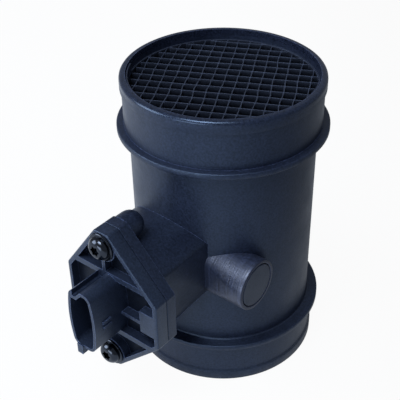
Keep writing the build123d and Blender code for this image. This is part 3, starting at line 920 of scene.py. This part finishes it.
class AIRFLOW_OT_build_screws(bpy.types.Operator):
    """Build the two domed screws with star recess and thread, and their washers"""

    bl_idname = "airflow.build_screws"
    bl_label = "Screws and washers"

    def execute(self, context):
        parts = context.scene.airflow_parts
        colours = context.scene.airflow_colours
        black = plated_metal("black_zinc_steel", colours.screw, 0.17)
        x = (SCREW_LOW[0] + SCREW_HIGH[0]) / 2
        head_radius = (SCREW_HIGH[0] - SCREW_LOW[0]) / 2
        lower = (x, WASHER_LOW[1], SCREW_LOW[2] + head_radius)
        lift = (0, 0, SCREW_HIGH[2] - SCREW_LOW[2] - 2 * head_radius)
        head_height = WASHER_LOW[1] - SCREW_LOW[1]
        screw = self.screw(lower, head_radius, head_height, parts)
        screws = join("flange_screw_pair", [screw, copy_moved(screw, lift)])
        smooth(screws, 30)
        finish_piece(screws, black, "flange_screws")
        washer = self.washer((x, WASHER_HIGH[1], lower[2]))
        washers = join("washer_pair", [washer, copy_moved(washer, lift)])
        smooth(washers, 30)
        finish_piece(washers, black, "screw_washers")
        return {"FINISHED"}

    def screw(self, centre, radius, height, parts):
        """A screw turned from its thread to the dome, with a six-lobed recess cut into the head."""
        tip, chamfer, groove, crest, shank = 0.3 * MM, 1.5 * MM, 1.6 * MM, 1.98 * MM, 1.95 * MM
        back = SCREW_HIGH[1] - centre[1]
        profile = [(tip, -back), (chamfer, -back + 0.5 * MM)]
        turns = int((back - 5.5 * MM) / parts.thread_pitch)
        for turn in range(turns):
            start = -back + 0.6 * MM + turn * parts.thread_pitch
            profile += [(groove, start), (crest, start + 0.5 * parts.thread_pitch)]
        profile += [
            (shank, -back + 1.2 * MM + turns * parts.thread_pitch), (shank, 0.0),
            (radius * 0.99, 0.0), (radius, 0.12 * MM),
        ]
        profile += [(radius * wide, height * high) for wide, high in DOME]
        piece = turned("flange_screw", profile, centre, segments=64)
        cutter = self.star(centre, height * CROWN_SHARE, parts.recess_radius, parts.recess_depth)
        cut = piece.modifiers.new("recess", "BOOLEAN")
        cut.operation = "DIFFERENCE"
        cut.solver = "EXACT"
        cut.object = cutter
        apply_modifiers(piece)
        bpy.data.objects.remove(cutter)
        return piece

    def star(self, centre, height, radius, depth):
        """A six-lobed prism that cuts the drive recess."""
        foot = (centre[0], centre[1] - height + depth, centre[2])
        piece = begin(
            "recess_cutter", bpy.ops.mesh.primitive_circle_add, vertices=12, radius=radius,
            fill_type="NGON", location=foot, rotation=(math.pi / 2, 0, 0),
        )
        bpy.ops.object.mode_set(mode="OBJECT")
        edit_points(piece, lambda vertex: vertex.index % 2 == 0)
        bpy.ops.transform.resize(value=(LOBE_WAIST, 1, LOBE_WAIST), center_override=foot)
        bpy.ops.mesh.select_all(action="SELECT")
        bpy.ops.mesh.bevel(offset=LOBE_ROUND, segments=3, affect="VERTICES")
        bpy.ops.mesh.select_all(action="SELECT")
        bpy.ops.mesh.extrude_region_move(
            TRANSFORM_OT_translate={"value": (0, -depth - 1 * MM, 0)},
        )
        return end(piece)

    def washer(self, seat):
        """A slightly dished washer turned as a ring, with eased rims."""
        outer = (WASHER_HIGH[0] - WASHER_LOW[0]) / 2
        thickness = WASHER_HIGH[1] - WASHER_LOW[1]
        bore = 2.1 * MM
        ease = 0.15 * MM
        profile = [
            (bore, 0.0), (outer - ease, 0.0), (outer, ease), (outer, thickness - 2 * ease),
            (outer - ease, thickness - ease), (outer - 0.9 * MM, thickness - 0.2 * ease),
            (outer - 1.3 * MM, thickness), (bore, thickness),
        ]
        return turned("washer", profile, seat, closed=True, segments=96)


class AIRFLOW_OT_build_stage(bpy.types.Operator):
    """Build the pale floor, the soft lamps, the world and the camera"""

    bl_idname = "airflow.build_stage"
    bl_label = "Stage"

    def execute(self, context):
        scene = context.scene
        studio = scene.airflow_studio
        turn = studio.azimuth
        centre = Vector((0, 0, studio.look_height))
        right = Vector((math.cos(turn), math.sin(turn), 0))
        toward = Vector((math.sin(turn), -math.cos(turn), 0))
        self.floor(scene, right)
        self.world(scene)
        for name, place, width, height, watts in (
            ("key_softbox", (-0.8, 0.1, 0.42), 0.45, 0.5, 5.5),
            ("front_softbox", (-0.5, 0.75, 0.15), 0.5, 0.3, 2.6),
            ("top_softbox", (-0.25, 0.4, 0.95), 0.45, 0.45, 9.0),
        ):
            spot = right * place[0] + toward * place[1] + Vector((0, 0, 1)) * place[2]
            self.softbox(scene, name, spot, centre, (width, height), watts)
        self.camera(scene, studio, centre)
        scene.view_settings.view_transform = "Standard"
        return {"FINISHED"}

    def floor(self, scene, right):
        """A white card to the camera, painted into shade toward its right, where mirrors also see less
        of its white.
        """
        bpy.ops.mesh.primitive_plane_add(size=6.0, location=(0, 0, 0))
        floor = bpy.context.object
        floor.name = "studio_floor"
        material, tree, shader = new_material("paper_floor")
        shader.inputs["Roughness"].default_value = 0.9
        shader.inputs["Specular IOR Level"].default_value = 0.1
        path = add_node(tree, "ShaderNodeLightPath")
        place = add_node(tree, "ShaderNodeTexCoord").outputs["Object"]
        rightward = add_node(
            tree, "ShaderNodeVectorMath", {0: place, 1: tuple(right)}, operation="DOT_PRODUCT",
        ).outputs["Value"]
        lit_side = add_node(
            tree, "ShaderNodeMapRange",
            {
                "Value": rightward, "From Min": 0.0, "From Max": FLOOR_FALL,
                "To Min": 1.0, "To Max": FLOOR_FAR_SHARE,
            },
        ).outputs["Result"]
        card = add_node(
            tree, "ShaderNodeVectorMath",
            {0: tuple(scene.airflow_colours.floor), "Scale": lit_side}, operation="SCALE",
        )
        tree.links.new(card.outputs["Vector"], shader.inputs["Base Color"])
        seen = add_node(
            tree, "ShaderNodeMath", {0: path.outputs["Is Camera Ray"], 1: FLOOR_SEEN},
            operation="MULTIPLY",
        )
        mirrored = add_node(
            tree, "ShaderNodeMath", {0: lit_side, 1: FLOOR_MIRRORED}, operation="MULTIPLY",
        )
        share = add_node(
            tree, "ShaderNodeMath",
            {0: path.outputs["Is Glossy Ray"], 1: mirrored.outputs[0], 2: seen.outputs[0]},
            operation="MULTIPLY_ADD",
        )
        glow = add_node(tree, "ShaderNodeEmission", {"Color": WHITE, "Strength": 1.0})
        mixed = add_node(
            tree, "ShaderNodeMixShader",
            {0: share.outputs[0], 1: shader.outputs[0], 2: glow.outputs[0]},
        )
        output = next(node for node in tree.nodes if node.type == "OUTPUT_MATERIAL")
        tree.links.new(mixed.outputs[0], output.inputs["Surface"])
        floor.data.materials.append(material)

    def world(self, scene):
        """Even light from all sides, seen as white by camera and transmission rays."""
        world = bpy.data.worlds.new("studio_world")
        scene.world = world
        world.use_nodes = True
        tree = world.node_tree
        ray = add_node(tree, "ShaderNodeLightPath")
        clear = add_node(
            tree, "ShaderNodeMath",
            {0: ray.outputs["Is Camera Ray"], 1: ray.outputs["Is Transmission Ray"]},
            operation="MAXIMUM",
        ).outputs[0]
        strength = add_node(
            tree, "ShaderNodeMath",
            {0: ray.outputs["Is Glossy Ray"], 1: WORLD_MIRRORED_EXTRA, 2: WORLD_STRENGTH},
            operation="MULTIPLY_ADD",
        ).outputs[0]
        fill_inputs(tree, tree.nodes["Background"], {
            "Color": add_node(
                tree, "ShaderNodeMix", {"Factor": clear, "A": linear("#dfe6f2"), "B": WHITE},
                data_type="RGBA",
            ).outputs["Result"],
            "Strength": add_node(
                tree, "ShaderNodeMix", {"Factor": clear, "A": strength, "B": 1.0},
                data_type="FLOAT",
            ).outputs["Result"],
        })

    def softbox(self, scene, name, spot, target, size, watts):
        """A cool area lamp of this width and height at the spot, pointed at the target."""
        data = bpy.data.lights.new(name, "AREA")
        data.shape = "RECTANGLE"
        data.size, data.size_y = size
        data.energy = watts
        data.color = LAMP_COLOUR
        lamp = bpy.data.objects.new(name, data)
        lamp.location = spot
        lamp.rotation_euler = (target - lamp.location).to_track_quat("-Z", "Y").to_euler()
        scene.collection.objects.link(lamp)

    def camera(self, scene, studio, target):
        """The camera, turned and raised round the target by the studio's settings."""
        back = Vector((
            math.sin(studio.azimuth) * math.cos(studio.elevation),
            -math.cos(studio.azimuth) * math.cos(studio.elevation),
            math.sin(studio.elevation),
        ))
        data = bpy.data.cameras.new("studio_camera")
        data.sensor_width = 36.0
        data.lens = studio.lens
        data.shift_x = studio.shift_x
        data.shift_y = studio.shift_y
        data.clip_start = 0.01
        camera = bpy.data.objects.new("studio_camera", data)
        camera.location = target + back * studio.distance
        camera.rotation_euler = (-back).to_track_quat("-Z", "Y").to_euler()
        scene.collection.objects.link(camera)
        scene.camera = camera


STEPS = (
    AIRFLOW_OT_finish_mouldings,
    AIRFLOW_OT_finish_metalwork,
    AIRFLOW_OT_build_boss,
    AIRFLOW_OT_build_straightener,
    AIRFLOW_OT_build_screws,
    AIRFLOW_OT_build_stage,
)


class AIRFLOW_PT_parts(bpy.types.Panel):
    """Lists the steps that dress the sensor"""

    bl_label = "Airflow sensor"
    bl_idname = "AIRFLOW_PT_parts"
    bl_space_type = "VIEW_3D"
    bl_region_type = "UI"
    bl_category = "Airflow"

    def draw(self, context):
        for step in STEPS:
            self.layout.operator(step.bl_idname)


CLASSES = (FinishColours, PartSizes, StudioSettings, *STEPS, AIRFLOW_PT_parts)


def register():
    for cls in CLASSES:
        bpy.utils.register_class(cls)
    bpy.types.Scene.airflow_colours = PointerProperty(type=FinishColours)
    bpy.types.Scene.airflow_parts = PointerProperty(type=PartSizes)
    bpy.types.Scene.airflow_studio = PointerProperty(type=StudioSettings)


def unregister():
    del bpy.types.Scene.airflow_studio
    del bpy.types.Scene.airflow_parts
    del bpy.types.Scene.airflow_colours
    for cls in reversed(CLASSES):
        bpy.utils.unregister_class(cls)


def main():
    """Registers the add-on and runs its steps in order."""
    register()
    for step in STEPS:
        group, name = step.bl_idname.split(".")
        getattr(getattr(bpy.ops, group), name)()


if __name__ == "__main__":
    main()
